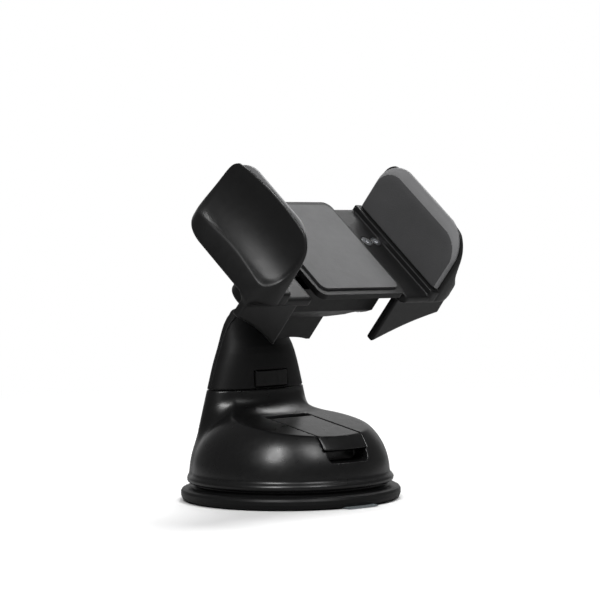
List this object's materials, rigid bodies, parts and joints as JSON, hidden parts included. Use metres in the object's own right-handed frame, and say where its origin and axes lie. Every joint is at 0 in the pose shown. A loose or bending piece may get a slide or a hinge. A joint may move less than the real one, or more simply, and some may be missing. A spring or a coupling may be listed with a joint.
{
  "type": "car phone mount",
  "caption": "Suction-base phone mount: a lever pulls the cup down, a neck carries a ball joint, and a geared cradle grips a phone between two padded arms.",
  "frame": {"origin": "centre of the suction face, on the surface the mount is stuck to", "axes": "+Z away from that surface, the lock lever points to -Y, +X to the right seen from the lever's side"},
  "size_m": [0.0949, 0.0798, 0.1075],
  "materials": {
    "shell_black": "satin moulded black, soft highlights",
    "arm_black": "fine matt black texture",
    "button_black": "fine matt black texture",
    "inner_black": "moulded black",
    "inner_nylon": "natural nylon",
    "pad_rubber": "dark grey, matt",
    "cup_rubber": "soft black, slight sheen",
    "clear_gel": "clear tacky gel",
    "zinc_steel": "bright zinc plate",
    "ball_steel": "dark satin steel",
    "spring_steel": "drawn wire"
  },
  "bodies": {
    "base": {"gel_pad": "clear_gel", "suction_cup": "cup_rubber", "pressure_plate": "inner_black", "base_cover": "shell_black", "base_screws": "zinc_steel", "cup_spring": "spring_steel", "neck_front": "shell_black", "neck_rear": "shell_black", "neck_screws": "zinc_steel", "latch_spring": "spring_steel", "ball_stud": "ball_steel"},
    "stud": {"stud_plate": "zinc_steel", "pull_stud": "zinc_steel", "lever_pin": "zinc_steel"},
    "lever": {"lock_lever": "shell_black"},
    "latch": {"neck_latch": "button_black"},
    "liner": {"ball_liner": "inner_nylon"},
    "socket": {"socket_cup": "inner_black"},
    "head": {"back_housing": "arm_black", "lock_ring": "inner_black", "front_plate": "arm_black", "back_pad": "pad_rubber", "housing_screws": "zinc_steel", "pinion_pin": "zinc_steel", "clock_spring": "spring_steel", "button_spring": "spring_steel"},
    "gear": {"pinion": "inner_nylon", "ratchet_wheel": "zinc_steel"},
    "release": {"release_button": "button_black"},
    "left_side": {"left_arm": "arm_black", "left_rack": "inner_nylon", "left_pad": "pad_rubber", "left_arm_screws": "zinc_steel"},
    "right_side": {"right_arm": "arm_black", "right_rack": "inner_nylon", "right_pad": "pad_rubber", "right_arm_screws": "zinc_steel"}
  },
  "joints": [
    {"name": "stud_slide", "type": "slide", "parent": "base", "child": "stud", "axis": [0, 0, 1], "range_m": [-0.0016, 0], "deforming": ["cup_spring"]},
    {"name": "lever_lift", "type": "hinge", "parent": "stud", "child": "lever", "pos_m": [0, 0, 0.0206], "axis": [-1, 0, 0], "range_deg": [0, 65]},
    {"name": "latch_press", "type": "slide", "parent": "base", "child": "latch", "axis": [0, 1, 0], "range_m": [0, 0.0012], "stiffness_N_per_m": 500, "springref_m": -0.001},
    {"name": "head_tilt", "type": "hinge", "parent": "base", "child": "liner", "pos_m": [0, 0.0122, 0.0662], "axis": [-0.9897, -0.1384, 0.0374], "range_deg": [-14, 18]},
    {"name": "head_swing", "type": "hinge", "parent": "liner", "child": "socket", "pos_m": [0, 0.0122, 0.0662], "axis": [-0.0842, 0.7724, 0.6296], "range_deg": [-12, 12]},
    {"name": "head_spin", "type": "hinge", "parent": "socket", "child": "head", "pos_m": [0, 0.0122, 0.0662], "axis": [0.116, -0.6199, 0.776], "continuous": true},
    {"name": "left_arm_slide", "type": "slide", "parent": "head", "child": "left_side", "axis": [-0.9897, -0.1384, 0.0374], "range_m": [-0.012, 0.011]},
    {"name": "right_arm_slide", "type": "slide", "parent": "head", "child": "right_side", "axis": [0.9897, 0.1384, -0.0374], "range_m": [-0.012, 0.011]},
    {"name": "gear_turn", "type": "hinge", "parent": "head", "child": "gear", "pos_m": [0.00303, -0.00773, 0.07263], "axis": [0.116, -0.6199, 0.776], "range_deg": [-151, 165]},
    {"name": "release_press", "type": "slide", "parent": "head", "child": "release", "axis": [0.0842, -0.7724, -0.6296], "range_m": [0, 0.002], "stiffness_N_per_m": 600, "springref_m": -0.001}
  ],
  "couplings": [
    {"joint": "lever_lift", "follows": "stud_slide", "rad_per_m": -709},
    {"joint": "right_arm_slide", "follows": "left_arm_slide", "ratio": 1},
    {"joint": "gear_turn", "follows": "left_arm_slide", "rad_per_m": -238.1}
  ]
}
